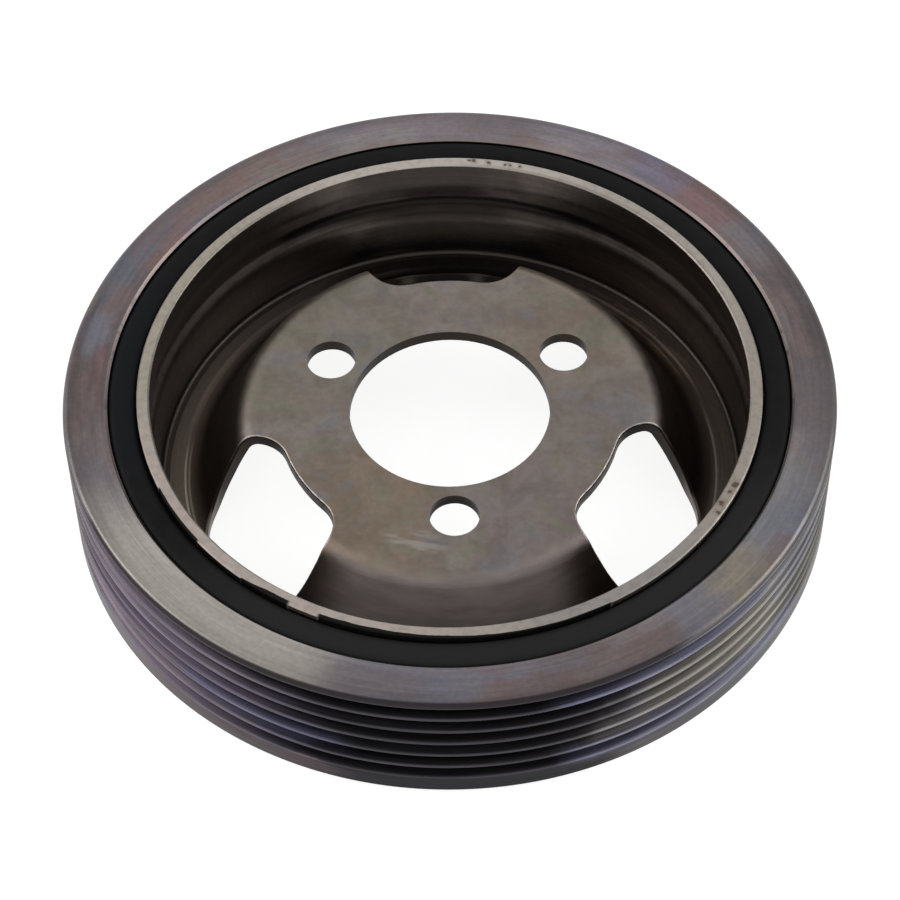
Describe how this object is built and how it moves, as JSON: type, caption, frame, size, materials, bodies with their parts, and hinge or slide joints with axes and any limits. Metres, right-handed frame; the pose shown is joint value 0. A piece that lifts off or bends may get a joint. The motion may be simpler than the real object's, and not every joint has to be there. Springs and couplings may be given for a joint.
{
  "type": "crankshaft pulley",
  "caption": "Ribbed-belt crankshaft pulley with a rubber torsional damper between a grooved outer ring and a pressed steel hub.",
  "frame": {"origin": "on the crankshaft's axis, in the plane of the outer ring's rear face, on which the pulley rests", "axes": "+Z along the axis towards the open front side, one window centred on +Y, one bolt hole centred on -Y"},
  "size_m": [0.14, 0.14, 0.0272],
  "materials": {
    "pressed_steel": "pressed sheet, darkened and mottled, with a bright turned rim",
    "turned_iron": "turned, with purple, blue and straw oxide tints",
    "rubber": "moulded, matt to satin"
  },
  "bodies": {
    "root": {"hub": "pressed_steel", "pulley_ring": "turned_iron", "damper_rubber": "rubber"}
  },
  "joints": []
}
